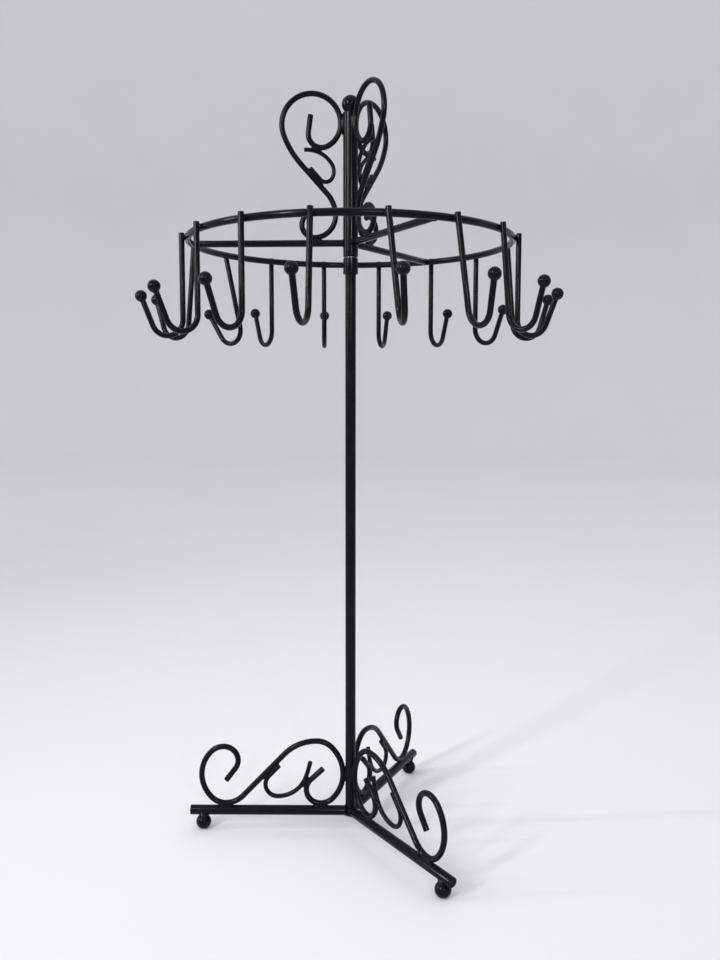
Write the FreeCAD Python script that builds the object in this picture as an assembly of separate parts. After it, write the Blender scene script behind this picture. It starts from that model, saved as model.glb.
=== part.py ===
"""Revolving necklace stand in black painted steel.

Three round arms on ball feet carry a slim pole.  A head turns on the pole: a
tube with a ball finial, a wire ring on three spokes, three heart scrolls above
the ring and sixteen J hooks hanging from its outside.  Millimetres, +Z up, with
the origin on the pole's axis at the floor.  TURN, SLOPE, FLARE and AZIMUTH are
in degrees.
"""
import FreeCAD
import Part
import math
import os

# Base: arms, feet and pole
ARM_DIAMETER = 6.0
ARM_REACH = 100.0
ARM_AZIMUTHS = {"left": 179.0, "front": 303.0, "back": 63.0}
FOOT_DIAMETER = 9.4
FOOT_INSET = 8.0
FOOT_FLAT_DIAMETER = 4.0
POLE_DIAMETER = 6.35
RING_HEIGHT = 359.0

# Base: large scroll, bent from the pole down to the inner curl
LARGE_WIRE = 3.5
LARGE_BELLY_RADIUS = 22.5
LARGE_HEEL_RADIUS = 10.6
LARGE_INNER_CURL_RADIUS = 8.8
LARGE_INNER_CURL_TURN = 137.0
LARGE_INNER_TIP = 10.5

# Base: large scroll, bent from the pole over the top and out along the arm
LARGE_BACK_RADIUS = 24.5
LARGE_CROWN_RADIUS = 13.0
LARGE_SHOULDER_RADIUS = 28.0
LARGE_SLOPE = 46.0
LARGE_SEAT_RADIUS = 15.0
LARGE_TOE_RADIUS = 12.0
LARGE_OUTER_RADIUS = 21.0
LARGE_BROW_RADIUS = 11.0
LARGE_OUTER_CURL_RADIUS = 8.8
LARGE_OUTER_CURL_TURN = 127.0
LARGE_OUTER_TIP = 9.5

# Base: small scroll under the slope of the large one
SMALL_WIRE = 2.8
SMALL_START_SHARE = 0.20
SMALL_TAIL = 9.5
SMALL_TURN_RADIUS = 7.6
SMALL_SWEEP_TURN = 62.0
SMALL_LIFT_RADIUS = 30.0
SMALL_LIFT_TURN = 13.0
SMALL_TIP = 6.5

# Swivel: stop collar, washer, head tube and finial
COLLAR_DIAMETER = 8.8
COLLAR_LENGTH = 9.1
WASHER_DIAMETER = 7.8
WASHER_THICKNESS = 0.9
TUBE_DIAMETER = 8.8
TUBE_DROP = 7.9
TUBE_RISE = 74.0
RUNNING_CLEARANCE = 0.1
END_PLAY = 0.1
FINIAL_DIAMETER = 10.4
FINIAL_STAND = 4.7
FINIAL_NECK_DIAMETER = 7.0
FINIAL_SPIGOT_LENGTH = 9.0
FINIAL_SPIGOT_CLEARANCE = 0.05
POLE_TOP_GAP = 1.5

# Head: ring and spokes
RING_RADIUS = 94.0
RING_WIRE = 4.0
SPOKE_WIRE = 4.0
SPOKE_AZIMUTHS = {"left": 177.0, "front": 297.0, "back": 57.0}

# Head: heart scroll, bent from the tube over the lobe to the lower curl
HEART_WIRE = 3.2
HEART_LOBE_RADIUS = 17.15
HEART_LOBE_TURN = 200.0
HEART_FLANK_RADIUS = 50.0
HEART_FLANK_TURN = 22.0
HEART_WAIST_RADIUS = 18.8
HEART_WAIST_GAP = 2.8
HEART_HIP_RADIUS = 12.4
HEART_CURL_RADIUS = 7.4
HEART_CURL_TURN = 215.0

# Head: heart scroll, bent from the tube down to the inner tip
HEART_BELLY_RADIUS = 14.0
HEART_BELLY_TURN = 62.0
HEART_CUP_RADIUS = 7.8
HEART_CUP_TURN = 126.0
HEART_TIP = 9.8

# Head: thin curl inside each heart
CURL_WIRE = 2.4
CURL_START_SHARE = 0.24
CURL_TAIL = 9.0
CURL_TURN_RADIUS = 4.2
CURL_TURN = 110.0
CURL_RISE_RADIUS = 8.0
CURL_RISE_TURN = 60.0
CURL_TIP = 1.4

# Head: hooks and their ball tips
HOOK_COUNT = 16
HOOK_FIRST_AZIMUTH = 258.4
HOOK_WIRE = 3.2
HOOK_TOP_RISE = 2.6
HOOK_DROP = 56.5
HOOK_BEND_RADIUS = 9.1
HOOK_FLARE = 21.5
HOOK_ARM = 17.9
HOOK_BALL_DIAMETER = 6.8
HOOK_BALL_SOCKET_SHARE = 0.6
# Degrees that a hook was welded off true, judged to the nearest five, as (sideways, outward, twist)
HOOK_SETS = {
    1: (0, 5, -5),
    2: (5, 5, -5),
    3: (5, 5, -5),
    4: (0, 5, -15),
    5: (0, 0, -25),
    6: (0, 5, 0),
    7: (0, 0, 0),
    8: (0, 0, 0),
    9: (0, 0, -5),
    10: (0, 0, -10),
    11: (0, 0, 0),
    12: (-5, -10, 0),
    13: (0, 5, -10),
    14: (0, 0, -15),
    15: (0, 0, 0),
    16: (0, 0, -5),
}

# Making: weld set-down, rounding of cut wire ends and overrun of cuts
WELD_SINK = 0.25
END_ROUND = 0.3
OVERRUN = 1.0

# Worked out from the sizes above
ARM_RADIUS = ARM_DIAMETER / 2
POLE_RADIUS = POLE_DIAMETER / 2
TUBE_RADIUS = TUBE_DIAMETER / 2
TUBE_BORE_RADIUS = POLE_RADIUS + RUNNING_CLEARANCE
FOOT_RADIUS = FOOT_DIAMETER / 2
FOOT_CENTRE_Z = math.sqrt(FOOT_RADIUS ** 2 - (FOOT_FLAT_DIAMETER / 2) ** 2)
ARM_AXIS_Z = FOOT_CENTRE_Z + FOOT_RADIUS + ARM_RADIUS - WELD_SINK
TUBE_BOTTOM_Z = RING_HEIGHT - TUBE_DROP
TUBE_TOP_Z = RING_HEIGHT + TUBE_RISE
WASHER_BOTTOM_Z = TUBE_BOTTOM_Z - END_PLAY - WASHER_THICKNESS
COLLAR_BOTTOM_Z = WASHER_BOTTOM_Z - COLLAR_LENGTH
POLE_BOTTOM_Z = ARM_AXIS_Z - ARM_RADIUS
POLE_TOP_Z = TUBE_TOP_Z - FINIAL_SPIGOT_LENGTH - POLE_TOP_GAP
HOOK_AXIS_RADIUS = RING_RADIUS + RING_WIRE / 2 + HOOK_WIRE / 2 - WELD_SINK

ORIGIN = FreeCAD.Vector(0, 0, 0)
UP = FreeCAD.Vector(0, 0, 1)
OUTWARD = FreeCAD.Vector(1, 0, 0)
SIDEWAYS = FreeCAD.Vector(0, 1, 0)


def flat(radius, height):
    """A point of the upright plane through the pole that faces +X."""
    return FreeCAD.Vector(radius, 0, height)


def along(heading):
    """Unit step in that plane, with heading in degrees from outward to up."""
    turn = math.radians(heading)
    return flat(math.cos(turn), math.sin(turn))


def leftward(heading):
    """Unit step square to a heading, on its left."""
    return along(heading + 90)


def turned(shape, azimuth):
    """A copy of a shape turned about the pole's axis."""
    copy = shape.copy()
    copy.rotate(ORIGIN, UP, azimuth)
    return copy


def upright_cylinder(diameter, low, high):
    return Part.makeCylinder(diameter / 2, high - low, flat(0, low))


def bend(start, heading, runs):
    """Follow a bent wire: each run is (length, 0) or (radius, turn to the left).

    Gives the path's edges and its stations, one (point, heading) per run end.
    """
    edges = []
    stations = [(start, heading)]
    point = start
    for size, turn in runs:
        if turn == 0:
            end = point + along(heading) * size
            edges.append(Part.LineSegment(point, end).toShape())
        else:
            side = math.copysign(1, turn)
            centre = point + leftward(heading) * (side * size)
            middle = centre - leftward(heading + turn / 2) * (side * size)
            end = centre - leftward(heading + turn) * (side * size)
            edges.append(Part.Arc(point, middle, end).toShape())
        point = end
        heading = heading + turn
        stations.append((point, heading))
    return edges, stations


def touching_radius(start, heading, side, centre, reach):
    """Radius of the arc that leaves start and just touches a round outside it."""
    offset = start - centre
    inward = leftward(heading) * side
    return (offset.dot(offset) - reach ** 2) / (2 * (reach - offset.dot(inward)))


def bent_wire(edges, diameter):
    """Round wire along a path, with its two cut ends slightly rounded."""
    path = Part.Wire(edges)
    start = path.OrderedVertexes[0].Point
    first = path.OrderedEdges[0]
    low, high = first.ParameterRange
    at_start = (first.valueAt(low) - start).Length < (first.valueAt(high) - start).Length
    direction = first.tangentAt(low if at_start else high)
    section = Part.Wire([Part.makeCircle(diameter / 2, start, direction)])
    wire = path.makePipeShell([section], True, False)
    rims = [edge for face in end_faces(wire, path) for edge in face.Edges]
    return wire.makeFillet(END_ROUND, rims)


def end_faces(wire, path):
    """The two flat faces at the ends of a swept wire."""
    ends = (path.OrderedVertexes[0].Point, path.OrderedVertexes[-1].Point)
    return [face for face in wire.Faces if any((face.CenterOfMass - end).Length < END_ROUND for end in ends)]


def reversed_path(edges, more):
    """Join two bends that leave the same point, from the end of the first."""
    return list(reversed(edges)) + more


def pole():
    return upright_cylinder(POLE_DIAMETER, POLE_BOTTOM_Z, POLE_TOP_Z)


def arm():
    rod = Part.makeCylinder(ARM_RADIUS, ARM_REACH, flat(0, ARM_AXIS_Z), OUTWARD)
    end = max(rod.Faces, key=lambda face: face.CenterOfMass.x)
    rod = rod.makeFillet(END_ROUND, end.Edges)
    return rod.cut(pole())


def foot():
    ball = Part.makeSphere(FOOT_RADIUS, flat(ARM_REACH - FOOT_INSET, FOOT_CENTRE_Z))
    below = Part.makeBox(FOOT_DIAMETER, FOOT_DIAMETER, FOOT_DIAMETER)
    below.translate(FreeCAD.Vector(ARM_REACH - FOOT_INSET - FOOT_RADIUS, -FOOT_RADIUS, -FOOT_DIAMETER))
    return ball.cut(below).cut(arm())


def large_scroll():
    """The large scroll, its slope's start and heading, and its inner curl's centre."""
    seat = ARM_AXIS_Z + ARM_RADIUS + LARGE_WIRE / 2 - WELD_SINK
    touch_r = POLE_RADIUS + LARGE_WIRE / 2 - WELD_SINK
    down = [
        (LARGE_BELLY_RADIUS, 45),
        (LARGE_HEEL_RADIUS, 45),
        (LARGE_INNER_CURL_RADIUS, LARGE_INNER_CURL_TURN),
        (LARGE_INNER_TIP, 0),
    ]
    drop = -bend(ORIGIN, -90, down)[1][2][0].z
    touch = flat(touch_r, seat + drop)
    inner, inner_stations = bend(touch, -90, down)
    over = [
        (LARGE_BACK_RADIUS, -45),
        (LARGE_CROWN_RADIUS, -45),
        (LARGE_SHOULDER_RADIUS, -LARGE_SLOPE),
    ]
    slope_start, slope_heading = bend(touch, 90, over)[1][-1]
    slope = math.radians(LARGE_SLOPE)
    seat_drop = LARGE_SEAT_RADIUS * (1 - math.cos(slope))
    slope_length = (slope_start.z - seat - seat_drop) / math.sin(slope)
    out = over + [
        (slope_length, 0),
        (LARGE_SEAT_RADIUS, LARGE_SLOPE),
        (LARGE_TOE_RADIUS, 45),
        (LARGE_OUTER_RADIUS, 90),
        (LARGE_BROW_RADIUS, 45),
        (LARGE_OUTER_CURL_RADIUS, LARGE_OUTER_CURL_TURN),
        (LARGE_OUTER_TIP, 0),
    ]
    outer = bend(touch, 90, out)[0]
    wire = bent_wire(reversed_path(inner, outer), LARGE_WIRE)
    curl_centre = inner_stations[2][0] + UP * LARGE_INNER_CURL_RADIUS
    return wire.cut(pole()).cut(arm()), (slope_start, slope_heading, slope_length), curl_centre


def small_scroll(large, slope, curl_centre):
    """Small scroll, welded along the underside of the slope and to the inner curl."""
    slope_start, heading, length = slope
    beside = (LARGE_WIRE + SMALL_WIRE) / 2 - WELD_SINK
    start = slope_start + along(heading) * (length * SMALL_START_SHARE) - leftward(heading) * beside
    runs = [
        (SMALL_TAIL, 0),
        (SMALL_TURN_RADIUS, -(180 + heading)),
    ]
    bottom, inbound = bend(start, heading, runs)[1][-1]
    reach = LARGE_INNER_CURL_RADIUS + beside
    runs += [
        (touching_radius(bottom, inbound, -1, curl_centre, reach), -SMALL_SWEEP_TURN),
        (SMALL_LIFT_RADIUS, -SMALL_LIFT_TURN),
        (SMALL_TIP, 0),
    ]
    return bent_wire(bend(start, heading, runs)[0], SMALL_WIRE).cut(large)


def collar():
    ring = upright_cylinder(COLLAR_DIAMETER, COLLAR_BOTTOM_Z, WASHER_BOTTOM_Z)
    return ring.makeFillet(END_ROUND, ring.Edges).cut(pole())


def washer():
    disc = upright_cylinder(WASHER_DIAMETER, WASHER_BOTTOM_Z, WASHER_BOTTOM_Z + WASHER_THICKNESS)
    bore = upright_cylinder(2 * TUBE_BORE_RADIUS, WASHER_BOTTOM_Z - OVERRUN, TUBE_BOTTOM_Z)
    return disc.cut(bore)


def head_rod():
    """The head tube's outside, before boring."""
    rod = upright_cylinder(TUBE_DIAMETER, TUBE_BOTTOM_Z, TUBE_TOP_Z)
    return rod.makeFillet(END_ROUND, [edge for edge in rod.Edges if edge.Closed])


def head_tube():
    bore = upright_cylinder(2 * TUBE_BORE_RADIUS, TUBE_BOTTOM_Z - OVERRUN, TUBE_TOP_Z + OVERRUN)
    return head_rod().cut(bore)


def finial():
    centre = TUBE_TOP_Z + FINIAL_STAND
    ball = Part.makeSphere(FINIAL_DIAMETER / 2, flat(0, centre))
    neck = upright_cylinder(FINIAL_NECK_DIAMETER, TUBE_TOP_Z, centre)
    spigot_diameter = 2 * (TUBE_BORE_RADIUS - FINIAL_SPIGOT_CLEARANCE)
    spigot = upright_cylinder(spigot_diameter, TUBE_TOP_Z - FINIAL_SPIGOT_LENGTH, centre)
    return ball.fuse([neck, spigot]).removeSplitter()


def ring():
    """The ring, swept from the far side so that its seams lie away from the welds."""
    section = Part.Wire([Part.makeCircle(RING_WIRE / 2, flat(-RING_RADIUS, RING_HEIGHT), SIDEWAYS)])
    return Part.Face(section).revolve(ORIGIN, UP, 360)


def spoke():
    reach = RING_RADIUS - RING_WIRE / 2 + WELD_SINK
    rod = Part.makeCylinder(SPOKE_WIRE / 2, reach, flat(0, RING_HEIGHT), OUTWARD)
    return rod.cut(head_rod()).cut(ring())


def heart():
    """The heart scroll, its straight run's start, heading and length, and its cup."""
    seat = RING_HEIGHT + SPOKE_WIRE / 2 + HEART_WIRE / 2 - WELD_SINK
    touch_r = TUBE_RADIUS + HEART_WIRE / 2 - WELD_SINK
    waist_r = TUBE_RADIUS + HEART_WAIST_GAP + HEART_WIRE / 2
    over = [
        (HEART_LOBE_RADIUS, -HEART_LOBE_TURN),
        (HEART_FLANK_RADIUS, -HEART_FLANK_TURN),
    ]
    straight_start, heading = bend(flat(touch_r, 0), 90, over)[1][-1]
    waist_turn = -90 - heading
    waist_in = HEART_WAIST_RADIUS * (1 + math.sin(math.radians(heading)))
    length = (straight_start.x - waist_r - waist_in) / -math.cos(math.radians(heading))
    over += [
        (length, 0),
        (HEART_WAIST_RADIUS, waist_turn),
        (HEART_HIP_RADIUS, 90),
        (HEART_CURL_RADIUS, HEART_CURL_TURN),
    ]
    drop = -bend(flat(touch_r, 0), 90, over)[1][5][0].z
    touch = flat(touch_r, seat + drop)
    outer, outer_stations = bend(touch, 90, over)
    down = [
        (HEART_BELLY_RADIUS, HEART_BELLY_TURN),
        (HEART_CUP_RADIUS, HEART_CUP_TURN),
        (HEART_TIP, 0),
    ]
    inner, inner_stations = bend(touch, -90, down)
    cup_start, cup_heading = inner_stations[1]
    cup_centre = cup_start + leftward(cup_heading) * HEART_CUP_RADIUS
    wire = bent_wire(reversed_path(inner, outer), HEART_WIRE)
    straight = (outer_stations[2][0], heading, length)
    return wire.cut(head_rod()).cut(spoke()), straight, cup_centre


def heart_curl(whole_heart, straight, cup_centre):
    """Thin curl, welded along the heart's straight run and under its cup."""
    straight_start, heading, length = straight
    beside = (HEART_WIRE + CURL_WIRE) / 2 - WELD_SINK
    start = straight_start + along(heading) * (length * CURL_START_SHARE) - leftward(heading) * beside
    runs = [
        (CURL_TAIL, 0),
        (CURL_TURN_RADIUS, -CURL_TURN),
        (CURL_RISE_RADIUS, -CURL_RISE_TURN),
    ]
    rise, rising = bend(start, heading, runs)[1][-1]
    reach = HEART_CUP_RADIUS + beside
    runs += [
        (touching_radius(rise, rising, -1, cup_centre, reach), -(rising % 360)),
        (CURL_TIP, 0),
    ]
    return bent_wire(bend(start, heading, runs)[0], CURL_WIRE).cut(whole_heart)


def hook():
    """One J hook and its ball tip, before the hook is welded to the ring."""
    top = flat(HOOK_AXIS_RADIUS, RING_HEIGHT + HOOK_TOP_RISE)
    drop = HOOK_TOP_RISE + HOOK_DROP - HOOK_WIRE / 2 - HOOK_BEND_RADIUS
    runs = [(drop, 0), (HOOK_BEND_RADIUS, 180 - HOOK_FLARE)]
    tip, heading = bend(top, -90, runs)[1][-1]
    ball_radius = HOOK_BALL_DIAMETER / 2
    ball = Part.makeSphere(ball_radius, tip + along(heading) * HOOK_ARM)
    runs.append((HOOK_ARM - ball_radius + HOOK_BALL_DIAMETER * HOOK_BALL_SOCKET_SHARE, 0))
    wire = bent_wire(bend(top, -90, runs)[0], HOOK_WIRE)
    return wire, ball.cut(wire)


def welded(shape, sideways, outward, twist):
    """A copy of a hook piece set off true about its weld on the ring."""
    weld = flat(HOOK_AXIS_RADIUS, RING_HEIGHT)
    copy = shape.copy()
    copy.rotate(weld, UP, twist)
    copy.rotate(weld, SIDEWAYS, -outward)
    copy.rotate(weld, OUTWARD, sideways)
    return copy


def around(name, shape, azimuths):
    """One node per named azimuth."""
    return {f"{name}_{place}": turned(shape, azimuth) for place, azimuth in azimuths.items()}


def hooks():
    """All hooks and ball tips, counted counterclockwise from the front."""
    nodes = {}
    wire, ball = hook()
    rim = ring()
    for number in range(1, HOOK_COUNT + 1):
        azimuth = HOOK_FIRST_AZIMUTH + (number - 1) * 360 / HOOK_COUNT
        sets = HOOK_SETS[number]
        nodes[f"hook_{number:02d}"] = turned(welded(wire, *sets).cut(rim), azimuth)
        nodes[f"hook_ball_{number:02d}"] = turned(welded(ball, *sets), azimuth)
    return nodes


def build():
    """Every node of the stand by name."""
    nodes = {"pole": pole(), "stop_collar": collar(), "thrust_washer": washer()}
    nodes.update(around("arm", arm(), ARM_AZIMUTHS))
    nodes.update(around("foot", foot(), ARM_AZIMUTHS))
    large, slope, curl_centre = large_scroll()
    nodes.update(around("scroll_large", large, ARM_AZIMUTHS))
    nodes.update(around("scroll_small", small_scroll(large, slope, curl_centre), ARM_AZIMUTHS))
    nodes.update({"head_tube": head_tube(), "finial": finial(), "ring": ring()})
    nodes.update(around("spoke", spoke(), SPOKE_AZIMUTHS))
    whole_heart, straight, cup_centre = heart()
    nodes.update(around("heart", whole_heart, SPOKE_AZIMUTHS))
    nodes.update(around("heart_curl", heart_curl(whole_heart, straight, cup_centre), SPOKE_AZIMUTHS))
    nodes.update(hooks())
    return nodes


os.makedirs("parts", exist_ok=True)
for node, solid in build().items():
    solid.exportStep(f"parts/{node}.step")
    print(f"{node}: {len(solid.Solids)} solid, valid {solid.isValid()}, volume {solid.Volume:.1f}")
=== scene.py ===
"""Looks of a revolving necklace stand in black painted steel wire.

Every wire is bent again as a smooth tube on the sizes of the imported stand, with cut
ends, weld beads and paint. A wire is bent in the upright plane that faces +X, where
a heading of zero points outward and a quarter turn points up, and is then turned
about the pole to its place. Metres, +Z up, with the origin on the pole's axis at
the floor.
"""
import math
from collections import namedtuple

import bmesh
import bpy
from bpy.props import FloatProperty, FloatVectorProperty, IntProperty, PointerProperty
from mathutils import Matrix, Vector, noise


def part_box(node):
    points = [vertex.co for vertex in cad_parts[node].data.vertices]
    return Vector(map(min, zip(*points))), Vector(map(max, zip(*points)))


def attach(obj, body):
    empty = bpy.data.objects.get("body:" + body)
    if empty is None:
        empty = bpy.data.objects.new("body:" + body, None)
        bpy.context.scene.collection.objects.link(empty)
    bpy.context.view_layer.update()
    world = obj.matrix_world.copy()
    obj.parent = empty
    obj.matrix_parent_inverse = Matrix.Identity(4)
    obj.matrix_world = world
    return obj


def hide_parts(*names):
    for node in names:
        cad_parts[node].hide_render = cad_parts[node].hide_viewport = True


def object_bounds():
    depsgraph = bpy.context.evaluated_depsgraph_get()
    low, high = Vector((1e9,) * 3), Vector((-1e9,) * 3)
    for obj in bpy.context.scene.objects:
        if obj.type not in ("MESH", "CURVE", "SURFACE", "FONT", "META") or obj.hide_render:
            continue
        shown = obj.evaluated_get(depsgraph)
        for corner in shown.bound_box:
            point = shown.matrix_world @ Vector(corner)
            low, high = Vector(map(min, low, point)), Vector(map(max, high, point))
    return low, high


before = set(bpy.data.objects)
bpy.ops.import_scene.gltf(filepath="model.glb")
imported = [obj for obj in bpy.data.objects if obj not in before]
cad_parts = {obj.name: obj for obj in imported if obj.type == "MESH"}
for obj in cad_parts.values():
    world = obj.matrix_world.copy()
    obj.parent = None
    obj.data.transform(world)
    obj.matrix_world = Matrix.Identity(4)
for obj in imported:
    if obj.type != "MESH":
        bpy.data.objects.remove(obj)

bl_info = {
    "name": "Necklace stand",
    "version": (1, 0, 0),
    "blender": (4, 5, 0),
    "location": "View3D > Sidebar > Stand",
    "description": "Builds the looks of a revolving necklace stand around its packed frame",
    "category": "Object",
}

CAD_BOX = [list(corner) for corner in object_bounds()]
PLACES = ("left", "front", "back")

# Directions and turns
ORIGIN = Vector((0, 0, 0))
UP = Vector((0, 0, 1))
EIGHTH = math.pi / 4
QUARTER = math.pi / 2
FULL = 2 * math.pi

# Fineness of the meshes
WIRE_SIDES = 24
LATHE_STEPS = 64
RING_STEPS = 144
BEND_STEP = math.radians(5)
LEAST_STEPS = 3
ROUNDING_STEPS = 3
BEAD_FINENESS = 3
MERGE_DISTANCE = 1e-6

# Lumps of a bead: how many to its radius, and the shift per metre that makes beads differ
BEAD_LUMPS = 1.7
BEAD_SHUFFLE = 900

# Foot: neck in arm radii, ball's bend up to it, neck's slope in quarter turns, worn zone in ball radii
FOOT_NECK_SHARE = 0.86
FOOT_RISE_SHARE = 0.94
FOOT_TAPER_SHARE = 0.9
FOOT_WEAR_SHARE = 0.22

# How soon chain wear is full below the middle of a hook's bend
CHAIN_WEAR_GAIN = 1.6

# Noise of a finish: waves per metre, detail, roughness, and the limits that are stretched to 0 and 1
Pattern = namedtuple("Pattern", "scale detail roughness low high")
GLOSS_PATCHES = Pattern(scale=95, detail=4, roughness=0.62, low=0.36, high=0.68)
PAINT_FILM = Pattern(scale=42, detail=5, roughness=0.6, low=0.38, high=0.72)
DUST_GRAIN = Pattern(scale=1500, detail=3, roughness=0.7, low=0.40, high=0.66)
DUST_DRIFT = Pattern(scale=60, detail=3, roughness=0.5, low=0.30, high=0.70)
WASHER_STAIN = Pattern(scale=700, detail=4, roughness=0.6, low=0.35, high=0.70)
FLOOR_CLOUD = Pattern(scale=3, detail=4, roughness=0.5, low=0.3, high=0.7)

# Paint ripples: detail of the wide ones, and number, detail and height of the fine ones on each
RIPPLE_DETAIL = 1
FINE_RIPPLES = 4
FINE_RIPPLE_DETAIL = 2
FINE_RIPPLE_SHARE = 0.22

# Upward lean of a face at which dust starts to lie, and lies in full
DUST_LEAN = (0.25, 1.0)

# Rubbing: the scratches' detail, roughness and least share, and where paint is worn off or polished
SCRATCH_DETAIL = 4
SCRATCH_ROUGHNESS = 0.7
SCRATCH_LEAST = 0.15
RUBBED_THROUGH = (0.50, 0.66)
RUBBED_SMOOTH = (0.1, 1.0)

# Washer: waves per metre, wander and depth of its turning marks, and how bright its stains stay
TURNING_MARKS = 2400
TURNING_WANDER = 1.5
TURNING_DEPTH_SHARE = 0.25
STAIN_SHARE = 0.55

# How bright the floor stays in its faint clouds
CLOUD_SHARE = 0.985


def middle(node):
    """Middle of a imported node's box."""
    low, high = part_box(node)
    return (low + high) / 2


def half_width(node):
    """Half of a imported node's reach along X."""
    low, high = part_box(node)
    return (high.x - low.x) / 2


def half_height(node):
    """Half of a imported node's height."""
    low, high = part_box(node)
    return (high.z - low.z) / 2


def azimuth_of(node):
    """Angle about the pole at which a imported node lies."""
    spot = middle(node)
    return math.atan2(spot.y, spot.x)


# Kinds of settings

def length(name, description, default):
    """A length in metres."""
    return FloatProperty(name=name, description=description, default=default, unit="LENGTH", precision=5)


def angle(name, description, degrees):
    """An angle, given in degrees."""
    return FloatProperty(
        name=name, description=description, default=math.radians(degrees), subtype="ANGLE")


def share(name, description, default):
    """A share from 0 to 1."""
    return FloatProperty(
        name=name, description=description, default=default, subtype="FACTOR", min=0, max=1)


def multiple(name, description, default):
    """How many times as large as another size."""
    return FloatProperty(name=name, description=description, default=default, min=0)


def colour(name, description, default):
    """A colour as linear red, green and blue."""
    return FloatVectorProperty(
        name=name, description=description, default=default, subtype="COLOR", min=0, max=1)


def power(name, description, default):
    """A lamp's power in watts."""
    return FloatProperty(name=name, description=description, default=default, unit="POWER")


def position(name, description, default):
    """A place in metres."""
    return FloatVectorProperty(
        name=name, description=description, default=default, subtype="TRANSLATION")


def extent(name, description, default):
    """A width and a height in metres."""
    return FloatVectorProperty(
        name=name, description=description, default=default, size=2, unit="LENGTH")


def millimetres(name, description, default):
    """A camera's length, which is given in millimetres."""
    return FloatProperty(name=name, description=description, default=default, unit="CAMERA")


class RodSizes(bpy.types.PropertyGroup):
    """Pole, arms, feet, swivel and ring."""

    end_round: length("End rounding", "Rounding of cut wire and rod ends", 0.0003)
    set_down: length("Set-down", "Depth that welded wires sink into each other", 0.00025)
    running: length("Running clearance", "Room between the pole and the bores on it", 0.0001)
    spigot_room: length("Spigot clearance", "Room round the finial's spigot in the tube", 0.00005)
    neck: length("Neck radius", "Finial's neck on the tube", 0.0035)
    foot_flat: length("Foot flat radius", "Worn flat under each ball foot", 0.0020)
    foot_inset: length("Foot inset", "Arm's end to the foot's middle", 0.0080)
    washer_round: length("Washer rounding", "Rounding of the washer's rims", 0.00012)


class LargeScrollSizes(bpy.types.PropertyGroup):
    """Bends of the large scroll on each arm."""

    belly: length("Belly radius", "Bend down from the pole weld", 0.0225)
    heel: length("Heel radius", "Bend onto the arm", 0.0106)
    inner_curl: length("Inner curl radius", "Curl beside the pole", 0.0088)
    inner_turn: angle("Inner curl turn", "Turn of the curl beside the pole", 137)
    inner_tip: length("Inner tip", "Straight tip of the inner curl", 0.0105)
    back: length("Back radius", "Bend up from the pole weld", 0.0245)
    crown: length("Crown radius", "Top of the scroll", 0.0130)
    shoulder: length("Shoulder radius", "Bend from the top into the slope", 0.0280)
    slope: angle("Slope", "Fall of the straight slope", 46)
    seat: length("Seat radius", "Bend from the slope onto the arm", 0.0150)
    toe: length("Toe radius", "Bend up from the arm", 0.0120)
    outer: length("Outer radius", "Wide outer bend", 0.0210)
    brow: length("Brow radius", "Bend into the outer curl", 0.0110)
    outer_curl: length("Outer curl radius", "Curl near the arm's end", 0.0088)
    outer_turn: angle("Outer curl turn", "Turn of the outer curl", 127)
    outer_tip: length("Outer tip", "Straight tip of the outer curl", 0.0095)


class SmallScrollSizes(bpy.types.PropertyGroup):
    """Bends of the small scroll under the slope."""

    start_share: share("Start", "Where along the slope the tail starts", 0.20)
    tail: length("Tail", "Straight tail along the slope", 0.0095)
    turn: length("Turn radius", "Tight bend back from the slope", 0.0076)
    sweep: angle("Sweep", "Turn of the sweep to the inner curl", 62)
    lift: length("Lift radius", "Easy bend past the inner curl", 0.0300)
    lift_turn: angle("Lift turn", "Turn of that easy bend", 13)
    tip: length("Tip", "Straight tip", 0.0065)


class HeartSizes(bpy.types.PropertyGroup):
    """Bends of the heart scroll on each spoke."""

    lobe: length("Lobe radius", "Round top of the heart", 0.01715)
    lobe_turn: angle("Lobe turn", "Turn over the top", 200)
    flank: length("Flank radius", "Easy bend down the outside", 0.0500)
    flank_turn: angle("Flank turn", "Turn down the outside", 22)
    waist: length("Waist radius", "Bend beside the tube", 0.0188)
    waist_gap: length("Waist gap", "Room between the waist and the tube", 0.0028)
    hip: length("Hip radius", "Bend out from the waist", 0.0124)
    curl: length("Curl radius", "Curl that rests on the spoke", 0.0074)
    curl_turn: angle("Curl turn", "Turn of that curl", 215)
    belly: length("Belly radius", "Bend down from the tube weld", 0.0140)
    belly_turn: angle("Belly turn", "Turn below the tube weld", 62)
    cup: length("Cup radius", "Bend up into the heart's inside tip", 0.0078)
    cup_turn: angle("Cup turn", "Turn of that bend", 126)
    tip: length("Tip", "Straight inside tip", 0.0098)


class HeartCurlSizes(bpy.types.PropertyGroup):
    """Bends of the thin curl inside each heart."""

    start_share: share("Start", "Where along the heart's straight the tail starts", 0.24)
    tail: length("Tail", "Straight tail along the heart", 0.0090)
    turn: length("Turn radius", "Tight bend at the bottom", 0.0042)
    turn_angle: angle("Turn", "Turn of that tight bend", 110)
    rise: length("Rise radius", "Bend beside the tube", 0.0080)
    rise_turn: angle("Rise turn", "Turn beside the tube", 60)
    tip: length("Tip", "Straight tip", 0.0014)


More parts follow.
